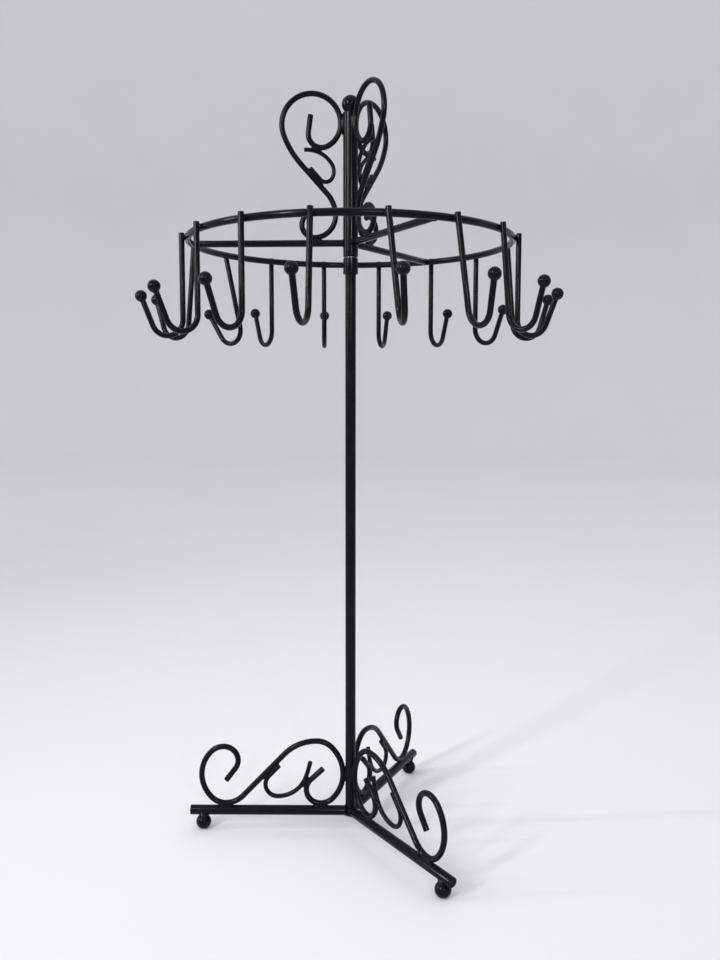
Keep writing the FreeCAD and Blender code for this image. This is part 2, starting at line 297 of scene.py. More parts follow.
class HookSizes(bpy.types.PropertyGroup):
    """The J hooks around the ring."""

    count: IntProperty(name="Hooks", description="Hooks around the ring", default=16, min=1)
    first: angle("First hook", "Azimuth of the first hook", 258.4)
    top_rise: length("Top rise", "Wire end above the ring's middle", 0.0026)
    drop: length("Drop", "Lowest wire below the ring's middle", 0.0565)
    bend: length("Bend radius", "Radius of the hook's bend", 0.0091)
    flare: angle("Flare", "Outward lean of the hook's short arm", 21.5)
    arm: length("Short arm", "Bend's end to the ball's middle", 0.0179)
    neck: length("Ball neck", "Paint fillet between the wire and the ball", 0.0007)


class WireGauges(bpy.types.PropertyGroup):
    """Radii of the bent wires."""

    large: length("Large scroll", "Wire radius", 0.00175)
    small: length("Small scroll", "Wire radius", 0.0014)
    heart: length("Heart", "Wire radius", 0.0016)
    curl: length("Heart curl", "Wire radius", 0.0012)
    hook: length("Hook", "Wire radius", 0.0016)


class WeldSizes(bpy.types.PropertyGroup):
    """Weld beads under the paint."""

    rod_reach_share: multiple("Butt weld reach", "Butt weld's radius in rod radii", 1.16)
    rod_depth_share: multiple("Butt weld depth", "Butt weld's half-depth in rod radii", 0.42)
    side_length_share: multiple("Side weld length", "Half-length of a side weld in wire radii", 2.9)
    side_width_share: multiple("Side weld width", "Half-width of a side weld in wire radii", 0.96)
    side_depth_share: multiple("Side weld depth", "Half-depth of a side weld in wire radii", 0.78)
    cross_length_share: multiple("Cross weld reach", "Radius of a crossing's weld in wire radii", 1.16)
    cross_depth_share: multiple("Cross weld depth", "Half-depth of a crossing's weld in wire radii", 0.5)
    tube_weld_share: multiple("Tube weld size", "Hearts' welds on the tube beside other side welds", 1.35)
    lump_share: share("Lumpiness", "Unevenness of the beads", 0.13)


class FinishLook(bpy.types.PropertyGroup):
    """Paint, steel and dust."""

    paint: colour("Paint", "Black paint where it lies thick", (0.0018, 0.0018, 0.0024))
    thin_paint: colour("Thin paint", "Black paint where it lies thin", (0.0040, 0.0040, 0.0048))
    steel: colour("Rubbed steel", "Bare steel where chains and the table rub", (0.24, 0.23, 0.22))
    # The washer's colour is painted shade: bare steel darkened to stand in for the dark surroundings it
    # reflects.
    washer: colour("Washer steel and painted shade", "Washer steel darkened as painted shade", (0.08, 0.078, 0.075))
    dust: colour("Dust", "Settled dust", (0.30, 0.29, 0.27))
    dust_share: share("Dust amount", "How much dust lies on faces that look up", 0.02)
    gloss: share("Gloss roughness", "Roughness of the smooth paint", 0.16)
    dull: share("Dull roughness", "Roughness of the duller paint", 0.27)
    shine: share("Shine", "Mirror strength of the paint", 0.13)
    chain_wear: share("Chain wear", "How far chains have rubbed the hooks' bends", 0.72)
    peel: length("Orange peel", "Size of the paint's ripples", 0.0020)
    peel_depth: length("Peel depth", "Depth of the paint's ripples", 0.000012)
    floor: colour("Floor", "Pale studio floor", (0.80, 0.80, 0.795))
    floor_dull: share("Floor roughness", "Roughness of the floor", 0.75)
    floor_shine: share("Floor shine", "Mirror strength of the floor", 0.2)


class StageLook(bpy.types.PropertyGroup):
    """Camera, lamps and floor."""

    camera: position("Camera", "Camera's place", (0, -0.5397, 0.2735))
    yaw: angle("Yaw", "Camera's turn to the right", 0.605)
    pitch: angle("Pitch", "Camera's tip upward", -5.736)
    roll: angle("Roll", "Camera's turn about its view", 0.07)
    lens: millimetres("Lens", "Focal length", 33.75)
    sensor: millimetres("Sensor", "Longer side of the picture behind the lens", 36)
    floor_radius: length("Floor radius", "Flat part of the floor", 3.0)
    cove_radius: length("Cove radius", "Bend from the floor to the wall", 1.2)
    wall: length("Wall", "Height of the wall above the cove", 1.6)
    key: power("Key light", "Power of the tall key light", 1.5)
    key_place: position("Key place", "Where the key light stands", (-0.95, -1.05, 0.85))
    key_size: extent("Key size", "Width and height of the key light", (0.16, 0.60))
    side: power("Side light", "Power of the left strip light", 0.9)
    side_place: position("Side place", "Where the strip light stands", (-1.60, -0.13, 0.75))
    side_size: extent("Side size", "Width and height of the strip light", (0.07, 0.80))
    front: power("Front light", "Power of the small front light", 0.34)
    front_place: position("Front place", "Where the front light stands", (0.35, -1.35, 0.62))
    front_size: extent("Front size", "Width and height of the front light", (0.09, 0.13))
    beam: angle("Beam", "Angle that each lamp's grid lets through", 60)
    sky: share("Sky", "Strength of the even light around", 0.95)
    sky_colour: colour("Sky colour", "Colour of the even light around", (0.93, 0.95, 1.0))


class StandSettings(bpy.types.PropertyGroup):
    """All sizes and finishes of the stand."""

    rods: PointerProperty(type=RodSizes)
    gauges: PointerProperty(type=WireGauges)
    large: PointerProperty(type=LargeScrollSizes)
    small: PointerProperty(type=SmallScrollSizes)
    heart: PointerProperty(type=HeartSizes)
    curl: PointerProperty(type=HeartCurlSizes)
    hook: PointerProperty(type=HookSizes)
    weld: PointerProperty(type=WeldSizes)
    finish: PointerProperty(type=FinishLook)
    stage: PointerProperty(type=StageLook)


# Degrees that a hook was welded off true, judged to the nearest five, as (sideways, outward, twist)
HOOK_SETS = {
    1: (0, 5, -5),
    2: (5, 5, -5),
    3: (5, 5, -5),
    4: (0, 5, -15),
    5: (0, 0, -25),
    6: (0, 5, 0),
    7: (0, 0, 0),
    8: (0, 0, 0),
    9: (0, 0, -5),
    10: (0, 0, -10),
    11: (0, 0, 0),
    12: (-5, -10, 0),
    13: (0, 5, -10),
    14: (0, 0, -15),
    15: (0, 0, 0),
    16: (0, 0, -5),
}


# Bending and turning

def flat(radius, height):
    """A point of the upright plane that faces +X."""
    return Vector((radius, 0, height))


def along(heading):
    """Unit step along a heading of that plane."""
    return flat(math.cos(heading), math.sin(heading))


def leftward(heading):
    """Unit step square to a heading, on its left."""
    return along(heading + QUARTER)


def arc_centre(point, heading, radius, turn):
    """Middle of an arc that leaves a point along a heading."""
    return point + leftward(heading) * math.copysign(radius, turn)


def stations(start, heading, runs):
    """Where a bend is after each run, as (point, heading).

    A run is (length, 0) or (radius, turn to the left); a radius of zero is a sharp turn.
    """
    stops = [(start, heading)]
    point = start
    for size, turn in runs:
        if turn == 0:
            point = point + along(heading) * size
        elif size > 0:
            centre = arc_centre(point, heading, size, turn)
            point = centre + Matrix.Rotation(-turn, 3, "Y") @ (point - centre)
        heading = heading + turn
        stops.append((point, heading))
    return stops


def follow(mesh, geometry, start, heading, runs):
    """Pull vertices and edges along a bend, and give what lies at its end."""
    point = start
    for size, turn in runs:
        if turn == 0:
            step = along(heading) * size
            pull = bmesh.ops.spin(mesh, geom=geometry, cent=point, axis=UP, dvec=step, steps=1)
            geometry = pull["geom_last"]
            point = point + step
        elif size > 0:
            centre = arc_centre(point, heading, size, turn)
            axis = Vector((0, -math.copysign(1, turn), 0))
            steps = max(LEAST_STEPS, math.ceil(abs(turn) / BEND_STEP))
            pull = bmesh.ops.spin(
                mesh, geom=geometry, cent=centre, axis=axis, angle=abs(turn), steps=steps)
            geometry = pull["geom_last"]
            point = centre + Matrix.Rotation(-turn, 3, "Y") @ (point - centre)
        heading = heading + turn
    return geometry


def edges_of(geometry):
    """Edges out of a mix of vertices and edges."""
    return [item for item in geometry if isinstance(item, bmesh.types.BMEdge)]


def smoothed(mesh):
    """Shade every face of a mesh smooth."""
    for face in mesh.faces:
        face.smooth = True
    return mesh


def full_spin(mesh, steps):
    """Spin all that a mesh holds once round the pole's axis."""
    profile = list(mesh.verts) + list(mesh.edges)
    bmesh.ops.spin(
        mesh, geom=profile, cent=ORIGIN, axis=UP, angle=FULL, steps=steps, use_merge=True)


def cut_end(mesh, rim, rounding):
    """Close a cut wire end and round its rim."""
    for face in bmesh.ops.edgeloop_fill(mesh, edges=rim)["faces"]:
        face.smooth = False
    bmesh.ops.bevel(
        mesh, geom=rim, offset=rounding, offset_type="OFFSET", segments=ROUNDING_STEPS, profile=0.5,
        affect="EDGES", material=-1)


def bent_wire(radius, start, legs, rounding):
    """Round wire that leaves a start point along one or two bends, each (heading, runs)."""
    mesh = bmesh.new()
    facing = Matrix.Translation(start) @ Matrix.Rotation(QUARTER - legs[0][0], 4, "Y")
    section = bmesh.ops.create_circle(mesh, segments=WIRE_SIDES, radius=radius, matrix=facing)["verts"]
    rim = list(mesh.edges)
    ends = [edges_of(follow(mesh, section + rim, start, heading, runs)) for heading, runs in legs]
    if len(legs) == 1:
        ends.append(rim)
    smoothed(mesh)
    for end in ends:
        cut_end(mesh, end, rounding)
    bmesh.ops.recalc_face_normals(mesh, faces=mesh.faces)
    return mesh


def turned_piece(start, heading, runs):
    """Lathe work: a profile drawn along runs and spun about the pole's axis."""
    mesh = bmesh.new()
    first = bmesh.ops.create_vert(mesh, co=start)["vert"]
    follow(mesh, first, start, heading, runs)
    full_spin(mesh, LATHE_STEPS)
    bmesh.ops.remove_doubles(mesh, verts=mesh.verts, dist=MERGE_DISTANCE)
    bmesh.ops.recalc_face_normals(mesh, faces=mesh.faces)
    return smoothed(mesh)


def sleeve_runs(inner, outer, height, rounding):
    """Profile of a sleeve with rounded outer rims, drawn from its inner bottom edge."""
    wall = outer - inner - rounding
    return [
        (wall, 0),
        (rounding, QUARTER),
        (height - 2 * rounding, 0),
        (rounding, QUARTER),
        (wall, 0),
        (0, QUARTER),
        (height, 0),
    ]


def touching_radius(start, heading, centre, reach):
    """Radius of the right-hand arc that leaves start and just touches a round outside it."""
    offset = start - centre
    inward = -leftward(heading)
    return (offset.dot(offset) - reach ** 2) / (2 * (reach - offset.dot(inward)))


# Placing

def spun(mesh, azimuth):
    """Turn a piece about the pole to its azimuth."""
    bmesh.ops.rotate(mesh, verts=mesh.verts, cent=ORIGIN, matrix=Matrix.Rotation(azimuth, 3, "Z"))
    return mesh


def in_scene(name, data):
    """Put an object of some data into the scene."""
    thing = bpy.data.objects.new(name, data)
    bpy.context.scene.collection.objects.link(thing)
    return thing


def as_object(name, mesh, material):
    """Make an object of a mesh, in one material."""
    data = bpy.data.meshes.new(name)
    mesh.to_mesh(data)
    mesh.free()
    data.materials.append(material)
    return in_scene(name, data)


def as_piece(name, mesh, body, material, nodes=()):
    """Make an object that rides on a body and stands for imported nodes."""
    piece = as_object(name, mesh, material)
    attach(piece, body)
    if nodes:
        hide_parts(*nodes)


# Routes of the bent wires, and their weld spots as (point, heading)

def tail_welds(start, heading, tail, wire):
    """Weld spots near both ends of a straight tail that lies along a thicker wire."""
    side = leftward(heading) * wire
    return [
        (start + along(heading) * (2 * wire) + side, heading),
        (start + along(heading) * tail + side, heading),
    ]


def touch_weld(arc_middle, round_middle, reach):
    """Weld spot where an arc touches a round that lies outside it."""
    outward = (round_middle - arc_middle).normalized()
    return round_middle - outward * reach, math.atan2(outward.z, outward.x) - QUARTER


def large_route(stand):
    """Large scroll: its start, its legs, its weld spots, its slope and its inner curl's middle."""
    sizes = stand.large
    wire = stand.gauges.large
    sink = stand.rods.set_down
    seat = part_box("arm_left")[1].z + wire - sink
    reach = half_width("pole") + wire - sink
    down = [
        (sizes.belly, EIGHTH),
        (sizes.heel, EIGHTH),
        (sizes.inner_curl, sizes.inner_turn),
        (sizes.inner_tip, 0),
    ]
    fall = stations(flat(0, 0), -QUARTER, down)[2][0].z
    start = flat(reach, seat - fall)
    heel = stations(start, -QUARTER, down)[2][0]
    over = [
        (sizes.back, -EIGHTH),
        (sizes.crown, -EIGHTH),
        (sizes.shoulder, -sizes.slope),
    ]
    slope_start, slope_heading = stations(start, QUARTER, over)[-1]
    seat_drop = sizes.seat * (1 - math.cos(sizes.slope))
    slope_length = (slope_start.z - seat - seat_drop) / math.sin(sizes.slope)
    over += [
        (slope_length, 0),
        (sizes.seat, sizes.slope),
        (sizes.toe, EIGHTH),
        (sizes.outer, QUARTER),
        (sizes.brow, EIGHTH),
        (sizes.outer_curl, sizes.outer_turn),
        (sizes.outer_tip, 0),
    ]
    toe = stations(start, QUARTER, over)[5][0]
    welds = [(start - along(0) * wire, QUARTER), (heel - UP * wire, 0), (toe - UP * wire, 0)]
    legs = [(QUARTER, over), (-QUARTER, down)]
    slope = (slope_start, slope_heading, slope_length)
    return start, legs, welds, slope, heel + UP * sizes.inner_curl


def small_route(stand):
    """Small scroll: its start, its leg and its weld spots."""
    sizes = stand.small
    slope, curl_middle = large_route(stand)[3:]
    slope_start, heading, slope_length = slope
    wire = stand.gauges.small
    beside = stand.gauges.large + wire - stand.rods.set_down
    start = slope_start + along(heading) * (slope_length * sizes.start_share)
    start = start - leftward(heading) * beside
    runs = [(sizes.tail, 0), (sizes.turn, -(math.pi + heading))]
    bottom, inbound = stations(start, heading, runs)[-1]
    reach = stand.large.inner_curl + beside
    sweep = touching_radius(bottom, inbound, curl_middle, reach)
    runs += [(sweep, -sizes.sweep), (sizes.lift, -sizes.lift_turn), (sizes.tip, 0)]
    sweep_middle = arc_centre(bottom, inbound, sweep, -1)
    welds = tail_welds(start, heading, sizes.tail, wire)
    welds.append(touch_weld(sweep_middle, curl_middle, stand.large.inner_curl + stand.gauges.large))
    return start, [(heading, runs)], welds


def heart_route(stand):
    """Heart scroll: its start, its legs, its weld spots, its straight and its cup's middle."""
    sizes = stand.heart
    wire = stand.gauges.heart
    sink = stand.rods.set_down
    tube = half_width("head_tube")
    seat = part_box("spoke_left")[1].z + wire - sink
    reach = tube + wire - sink
    over = [(sizes.lobe, -sizes.lobe_turn), (sizes.flank, -sizes.flank_turn)]
    turn_in, heading = stations(flat(reach, 0), QUARTER, over)[-1]
    waist_in = sizes.waist * (1 + math.sin(heading))
    straight = (turn_in.x - tube - sizes.waist_gap - wire - waist_in) / -math.cos(heading)
    over += [
        (straight, 0),
        (sizes.waist, -QUARTER - heading),
        (sizes.hip, QUARTER),
        (sizes.curl, sizes.curl_turn),
    ]
    fall = stations(flat(reach, 0), QUARTER, over)[5][0].z
    start = flat(reach, seat - fall)
    stops = stations(start, QUARTER, over)
    down = [(sizes.belly, sizes.belly_turn), (sizes.cup, sizes.cup_turn), (sizes.tip, 0)]
    cup_start, cup_heading = stations(start, -QUARTER, down)[1]
    cup_middle = cup_start + leftward(cup_heading) * sizes.cup
    welds = [(start - along(0) * wire, QUARTER), (stops[5][0] - UP * wire, 0)]
    legs = [(QUARTER, over), (-QUARTER, down)]
    return start, legs, welds, (stops[2][0], heading, straight), cup_middle


def curl_route(stand):
    """Thin curl inside a heart: its start, its leg and its weld spots."""
    sizes = stand.curl
    straight, cup_middle = heart_route(stand)[3:]
    straight_start, heading, straight_length = straight
    wire = stand.gauges.curl
    beside = stand.gauges.heart + wire - stand.rods.set_down
    start = straight_start + along(heading) * (straight_length * sizes.start_share)
    start = start - leftward(heading) * beside
    runs = [(sizes.tail, 0), (sizes.turn, -sizes.turn_angle), (sizes.rise, -sizes.rise_turn)]
    rise, rising = stations(start, heading, runs)[-1]
    reach = stand.heart.cup + beside
    bow = touching_radius(rise, rising, cup_middle, reach)
    runs += [(bow, -(rising % FULL)), (sizes.tip, 0)]
    bow_middle = arc_centre(rise, rising, bow, -1)
    welds = tail_welds(start, heading, sizes.tail, wire)
    welds.append(touch_weld(bow_middle, cup_middle, stand.heart.cup + stand.gauges.heart))
    return start, [(heading, runs)], welds


def hook_weld(stand):
    """Middle of a hook's wire where it is welded to the ring's outside."""
    return flat(half_width("ring") + stand.gauges.hook - stand.rods.set_down, middle("ring").z)


def hook_route(stand):
    """J hook: its start above the ring, its leg, and its bend's middle."""
    sizes = stand.hook
    wire = stand.gauges.hook
    start = hook_weld(stand) + UP * sizes.top_rise
    drop = sizes.top_rise + sizes.drop - wire - sizes.bend
    runs = [(drop, 0), (sizes.bend, math.pi - sizes.flare), (sizes.arm, 0)]
    bend_middle = start - UP * drop + along(0) * sizes.bend
    return start, [(-QUARTER, runs)], bend_middle


def hook_placing(stand, number):
    """How one hook was welded: its lean about its weld on the ring, then its turn about the pole."""
    sideways, outward, twist = (math.radians(lean) for lean in HOOK_SETS[number])
    weld = hook_weld(stand)
    lean = (
        Matrix.Rotation(sideways, 4, "X")
        @ Matrix.Rotation(-outward, 4, "Y")
        @ Matrix.Rotation(twist, 4, "Z")
    )
    azimuth = stand.hook.first + (number - 1) * FULL / stand.hook.count
    leaning = Matrix.Translation(weld) @ lean @ Matrix.Translation(-weld)
    return Matrix.Rotation(azimuth, 4, "Z") @ leaning


# Finishes

def new_group(name, inputs, outputs):
    """Start a shader node group with float inputs and outputs."""
    group = bpy.data.node_groups.new(name, "ShaderNodeTree")
    for label, default in inputs.items():
        socket = group.interface.new_socket(label, in_out="INPUT", socket_type="NodeSocketFloat")
        socket.default_value = default
    for label in outputs:
        group.interface.new_socket(label, in_out="OUTPUT", socket_type="NodeSocketFloat")
    return group, group.nodes.new("NodeGroupInput"), group.nodes.new("NodeGroupOutput")


def feed(tree, socket, value):
    """Link a socket to another one, or set it to a number or a colour."""
    if isinstance(value, bpy.types.NodeSocket):
        tree.links.new(value, socket)
    elif socket.type == "RGBA":
        socket.default_value = (*value, 1)
    else:
        socket.default_value = value


def math_node(tree, operation, first, second):
    """A Math node; each side is a socket or a number."""
    node = tree.nodes.new("ShaderNodeMath")
    node.operation = operation
    for socket, value in zip(node.inputs, (first, second)):
        feed(tree, socket, value)
    return node.outputs[0]


def noise_node(tree, scale, detail, roughness=0.5):
    """Noise on the piece's own coordinates, with its scale in waves per metre."""
    spot = tree.nodes.new("ShaderNodeTexCoord")
    node = tree.nodes.new("ShaderNodeTexNoise")
    node.inputs["Detail"].default_value = detail
    node.inputs["Roughness"].default_value = roughness
    tree.links.new(spot.outputs["Object"], node.inputs["Vector"])
    feed(tree, node.inputs["Scale"], scale)
    return node.outputs["Fac"]


def ramp(tree, value, low, high):
    """Stretch a value so that low gives 0 and high gives 1."""
    node = tree.nodes.new("ShaderNodeMapRange")
    node.interpolation_type = "SMOOTHSTEP"
    node.inputs["From Min"].default_value = low
    node.inputs["From Max"].default_value = high
    tree.links.new(value, node.inputs["Value"])
    return node.outputs["Result"]


def patches(tree, pattern):
    """Patches of a finish, from 0 to 1."""
    spots = noise_node(tree, pattern.scale, pattern.detail, pattern.roughness)
    return ramp(tree, spots, pattern.low, pattern.high)


def mix_node(tree, data_type, socket_type, mask, first, second):
    """A Mix node for one type of data, whose sockets are of one type."""
    node = tree.nodes.new("ShaderNodeMix")
    node.data_type = data_type
    tree.links.new(mask, node.inputs["Factor"])
    for label, value in (("A", first), ("B", second)):
        socket = next(s for s in node.inputs if s.name == label and s.type == socket_type)
        feed(tree, socket, value)
    return next(s for s in node.outputs if s.type == socket_type)


def mix_colour(tree, mask, first, second):
    """Mix two colours; each is a socket or three numbers."""
    return mix_node(tree, "RGBA", "RGBA", mask, first, second)


def mix_value(tree, mask, first, second):
    """Mix two values; each is a socket or a number."""
    return mix_node(tree, "FLOAT", "VALUE", mask, first, second)


def paint_skin_group():
    """Sprayed paint: ripples, uneven gloss and uneven thickness."""
    inputs = {"Ripples": 900.0, "Gloss": 0.25, "Dull": 0.4}
    group, given, made = new_group("paint_skin", inputs, ("Height", "Roughness", "Thinness"))
    ripples = given.outputs["Ripples"]
    wide = noise_node(group, ripples, RIPPLE_DETAIL)
    fine = noise_node(group, math_node(group, "MULTIPLY", ripples, FINE_RIPPLES), FINE_RIPPLE_DETAIL)
    height = math_node(group, "ADD", wide, math_node(group, "MULTIPLY", fine, FINE_RIPPLE_SHARE))
    dull = patches(group, GLOSS_PATCHES)
    roughness = mix_value(group, dull, given.outputs["Gloss"], given.outputs["Dull"])
    group.links.new(height, made.inputs["Height"])
    group.links.new(roughness, made.inputs["Roughness"])
    group.links.new(patches(group, PAINT_FILM), made.inputs["Thinness"])
    return group


def settled_dust_group():
    """Dust that lies where a face looks up, broken by a fine grain."""
    group, given, made = new_group("settled_dust", {"Amount": 0.05}, ("Mask",))
    facing = group.nodes.new("ShaderNodeNewGeometry")
    split = group.nodes.new("ShaderNodeSeparateXYZ")
    group.links.new(facing.outputs["Normal"], split.inputs[0])
    upward = ramp(group, split.outputs["Z"], *DUST_LEAN)
    grain = patches(group, DUST_GRAIN)
    drift = patches(group, DUST_DRIFT)
    lies = math_node(group, "MULTIPLY", upward, math_node(group, "MULTIPLY", grain, drift))
    mask = math_node(group, "MULTIPLY", lies, given.outputs["Amount"])
    group.links.new(mask, made.inputs["Mask"])
    return group


def rub_marks_group():
    """Paint rubbed through where a piece is touched most."""
    inputs = {"Touch": 0.0, "Scratches": 2600.0}
    group, given, made = new_group("rub_marks", inputs, ("Mask", "Polish"))
    touch = given.outputs["Touch"]
    speckle = noise_node(group, given.outputs["Scratches"], SCRATCH_DETAIL, SCRATCH_ROUGHNESS)
    cover = math_node(group, "MULTIPLY", touch, math_node(group, "ADD", speckle, SCRATCH_LEAST))
    group.links.new(ramp(group, cover, *RUBBED_THROUGH), made.inputs["Mask"])
    group.links.new(ramp(group, touch, *RUBBED_SMOOTH), made.inputs["Polish"])
    return group


def place_group(tree, group, values):
    """Put a node group into a material with its own values."""
    node = tree.nodes.new("ShaderNodeGroup")
    node.node_tree = group
    for label, value in values.items():
        node.inputs[label].default_value = value
    return node


def new_material(name):
    """An empty material, its node tree and its Principled shader."""
    material = bpy.data.materials.new(name)
    material.use_nodes = True
    return material, material.node_tree, material.node_tree.nodes["Principled BSDF"]


def bumped(tree, shader, height, depth):
    """Feed a height to the shader's normal, with its depth in metres."""
    bump = tree.nodes.new("ShaderNodeBump")
    bump.inputs["Distance"].default_value = depth
    tree.links.new(height, bump.inputs["Height"])
    tree.links.new(bump.outputs["Normal"], shader.inputs["Normal"])


def paint_material(name, look, rubbed):
    """Black sprayed paint with dust, and bare steel where a rubbed piece is touched."""
    material, tree, shader = new_material(name)
    spray = {"Ripples": 1 / look.peel, "Gloss": look.gloss, "Dull": look.dull}
    skin = place_group(tree, shared_group("paint_skin", paint_skin_group), spray)
    settled = shared_group("settled_dust", settled_dust_group)
    dust = place_group(tree, settled, {"Amount": look.dust_share})
    base = mix_colour(tree, skin.outputs["Thinness"], look.paint, look.thin_paint)
    roughness = skin.outputs["Roughness"]
    if rubbed:
        touch = tree.nodes.new("ShaderNodeAttribute")
        touch.attribute_name = "touch"
        marks = place_group(tree, shared_group("rub_marks", rub_marks_group), {})
        tree.links.new(touch.outputs["Fac"], marks.inputs["Touch"])
        base = mix_colour(tree, marks.outputs["Mask"], base, look.steel)
        roughness = mix_value(tree, marks.outputs["Polish"], roughness, look.gloss)
        tree.links.new(marks.outputs["Mask"], shader.inputs["Metallic"])
    base = mix_colour(tree, dust.outputs["Mask"], base, look.dust)
    roughness = math_node(tree, "ADD", roughness, dust.outputs["Mask"])
    tree.links.new(base, shader.inputs["Base Color"])
    tree.links.new(roughness, shader.inputs["Roughness"])
    shader.inputs["Specular IOR Level"].default_value = look.shine
    bumped(tree, shader, skin.outputs["Height"], look.peel_depth)
    return material


def steel_material(name, look):
    """Bare steel darkened as painted shade, with turning marks round the pole."""
    material, tree, shader = new_material(name)
    shader.inputs["Metallic"].default_value = 1.0
    spot = tree.nodes.new("ShaderNodeTexCoord")
    wave = tree.nodes.new("ShaderNodeTexWave")
    wave.wave_type = "RINGS"
    wave.rings_direction = "Z"
    wave.inputs["Scale"].default_value = TURNING_MARKS
    wave.inputs["Distortion"].default_value = TURNING_WANDER
    tree.links.new(spot.outputs["Object"], wave.inputs["Vector"])
    stain = patches(tree, WASHER_STAIN)
    darker = tuple(STAIN_SHARE * part for part in look.washer)
    # The base colour is the washer's painted shade, steel darkened to stand in for dark surroundings in
    # its reflection; the stains are random darker patches.
    tree.links.new(mix_colour(tree, stain, look.washer, darker), shader.inputs["Base Color"])
    tree.links.new(mix_value(tree, stain, look.gloss, look.dull), shader.inputs["Roughness"])
    bumped(tree, shader, wave.outputs["Fac"], look.peel_depth * TURNING_DEPTH_SHARE)
    return material


def floor_material(name, look):
    """Pale matt floor with a faint unevenness."""
    material, tree, shader = new_material(name)
    cloud = patches(tree, FLOOR_CLOUD)
    darker = tuple(CLOUD_SHARE * part for part in look.floor)
    tree.links.new(mix_colour(tree, cloud, look.floor, darker), shader.inputs["Base Color"])
    shader.inputs["Roughness"].default_value = look.floor_dull
    shader.inputs["Specular IOR Level"].default_value = look.floor_shine
    return material


def shared_group(name, maker):
    """A node group, made the first time that it is asked for."""
    return bpy.data.node_groups.get(name) or maker()


def finish(look, name):
    """One of the stand's finishes, made the first time that it is asked for."""
    if name in bpy.data.materials:
        return bpy.data.materials[name]
    if name == "bare_washer":
        return steel_material(name, look)
    if name == "pale_floor":
        return floor_material(name, look)
    return paint_material(name, look, rubbed=name == "rubbed_paint")


def touch_layer(mesh):
    """Layer that says how much each spot of a piece is touched."""
    return mesh.verts.layers.float.new("touch")


# Weld beads

def bead(mesh, spot, heading, half_length, half_breadth, half_depth, lumpiness):
    """A lumpy bead at a spot of the upright plane, long along a heading and deep across it."""
    made = bmesh.ops.create_icosphere(mesh, subdivisions=BEAD_FINENESS, radius=1)["verts"]
    for vert in made:
        vert.co *= 1 + lumpiness * noise.noise(vert.co * BEAD_LUMPS + spot * BEAD_SHUFFLE)
    size = Matrix.Diagonal((half_length, half_breadth, half_depth, 1))
    turn = Matrix.Rotation(-heading, 4, "Y")
    bmesh.ops.transform(mesh, matrix=Matrix.Translation(spot) @ turn @ size, verts=made)


def beads(stand, spots, radius, azimuth):
    """Side welds of one wire at its spots, as a mesh turned to its place."""
    sizes = stand.weld
    mesh = bmesh.new()
    for spot, heading in spots:
        bead(
            mesh, spot, heading, radius * sizes.side_length_share, radius * sizes.side_width_share,
            radius * sizes.side_depth_share, sizes.lump_share)
    return spun(mesh, azimuth)


def joined(meshes):
    """One mesh out of several."""
    whole = bmesh.new()
    for mesh in meshes:
        data = bpy.data.meshes.new("part")
        mesh.to_mesh(data)
        mesh.free()
        whole.from_mesh(data)
        bpy.data.meshes.remove(data)
    return smoothed(whole)


def butt_bead(stand, spot, radius, azimuth):
    """Weld round a rod's end where it meets an upright round or the ring."""
    sizes = stand.weld
    mesh = bmesh.new()
    reach = radius * sizes.rod_reach_share
    bead(mesh, spot, QUARTER, reach, reach, radius * sizes.rod_depth_share, sizes.lump_share)
    return spun(mesh, azimuth)


# Operators

class STAND_OT_turned_pieces(bpy.types.Operator):
    """Make the pole, stop collar, washer, head tube and finial"""

    bl_idname = "stand.turned_pieces"
    bl_label = "Pole and swivel"

    def execute(self, context):
        stand = context.scene.necklace_stand
        rods = stand.rods
        paint = finish(stand.finish, "black_paint_coat")
        self.rod("pole", "pole_rod", "base", rods, paint)
        self.sleeve("stop_collar", "collar_sleeve", "base", half_width("pole"), rods.end_round, paint)
        bore = half_width("pole") + rods.running
        self.sleeve("head_tube", "tube_sleeve", "head", bore, rods.end_round, paint)
        # The washer's finish carries painted shade: its steel colour is darkened to stand in for dark
        # surroundings in its reflection.
        steel = finish(stand.finish, "bare_washer")
        self.sleeve(
            "thrust_washer", "washer_disc", "swivel", bore, rods.washer_round, steel, "washer_steel")
        self.finial(rods, bore - rods.spigot_room, paint)
        return {"FINISHED"}

    def rod(self, node, name, body, rods, paint):
        """Upright round rod with rounded ends."""
        low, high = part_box(node)
        width = half_width(node) - rods.end_round
        runs = [
            (width, 0),
            (rods.end_round, QUARTER),
            (high.z - low.z - 2 * rods.end_round, 0),
            (rods.end_round, QUARTER),
            (width, 0),
        ]
        as_piece(name, turned_piece(flat(0, low.z), 0, runs), body, paint, [node])

    def sleeve(self, node, name, body, bore, rounding, material, slot="black_paint"):
        """Upright sleeve or washer with rounded outer rims."""
        low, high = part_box(node)
        runs = sleeve_runs(bore, half_width(node), high.z - low.z, rounding)
        as_piece(name, turned_piece(flat(bore, low.z), 0, runs), body, material, [node])

    def finial(self, rods, spigot, paint):
        """Ball on a neck, with a spigot down into the tube."""
        low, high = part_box("finial")
        ball = half_width("finial")
        tube_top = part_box("head_tube")[1].z
        dip = math.asin(math.sqrt(ball ** 2 - rods.neck ** 2) / ball)
        neck_top = high.z - ball - ball * math.sin(dip)
        runs = [
            (spigot - rods.end_round, 0),
            (rods.end_round, QUARTER),
            (tube_top - low.z - rods.end_round, 0),
            (0, -QUARTER),
            (rods.neck - spigot, 0),
            (0, QUARTER),
            (neck_top - tube_top, 0),
            (0, -dip),
            (ball, QUARTER + dip),
        ]
        as_piece("finial_ball", turned_piece(flat(0, low.z), 0, runs), "head", paint, ["finial"])


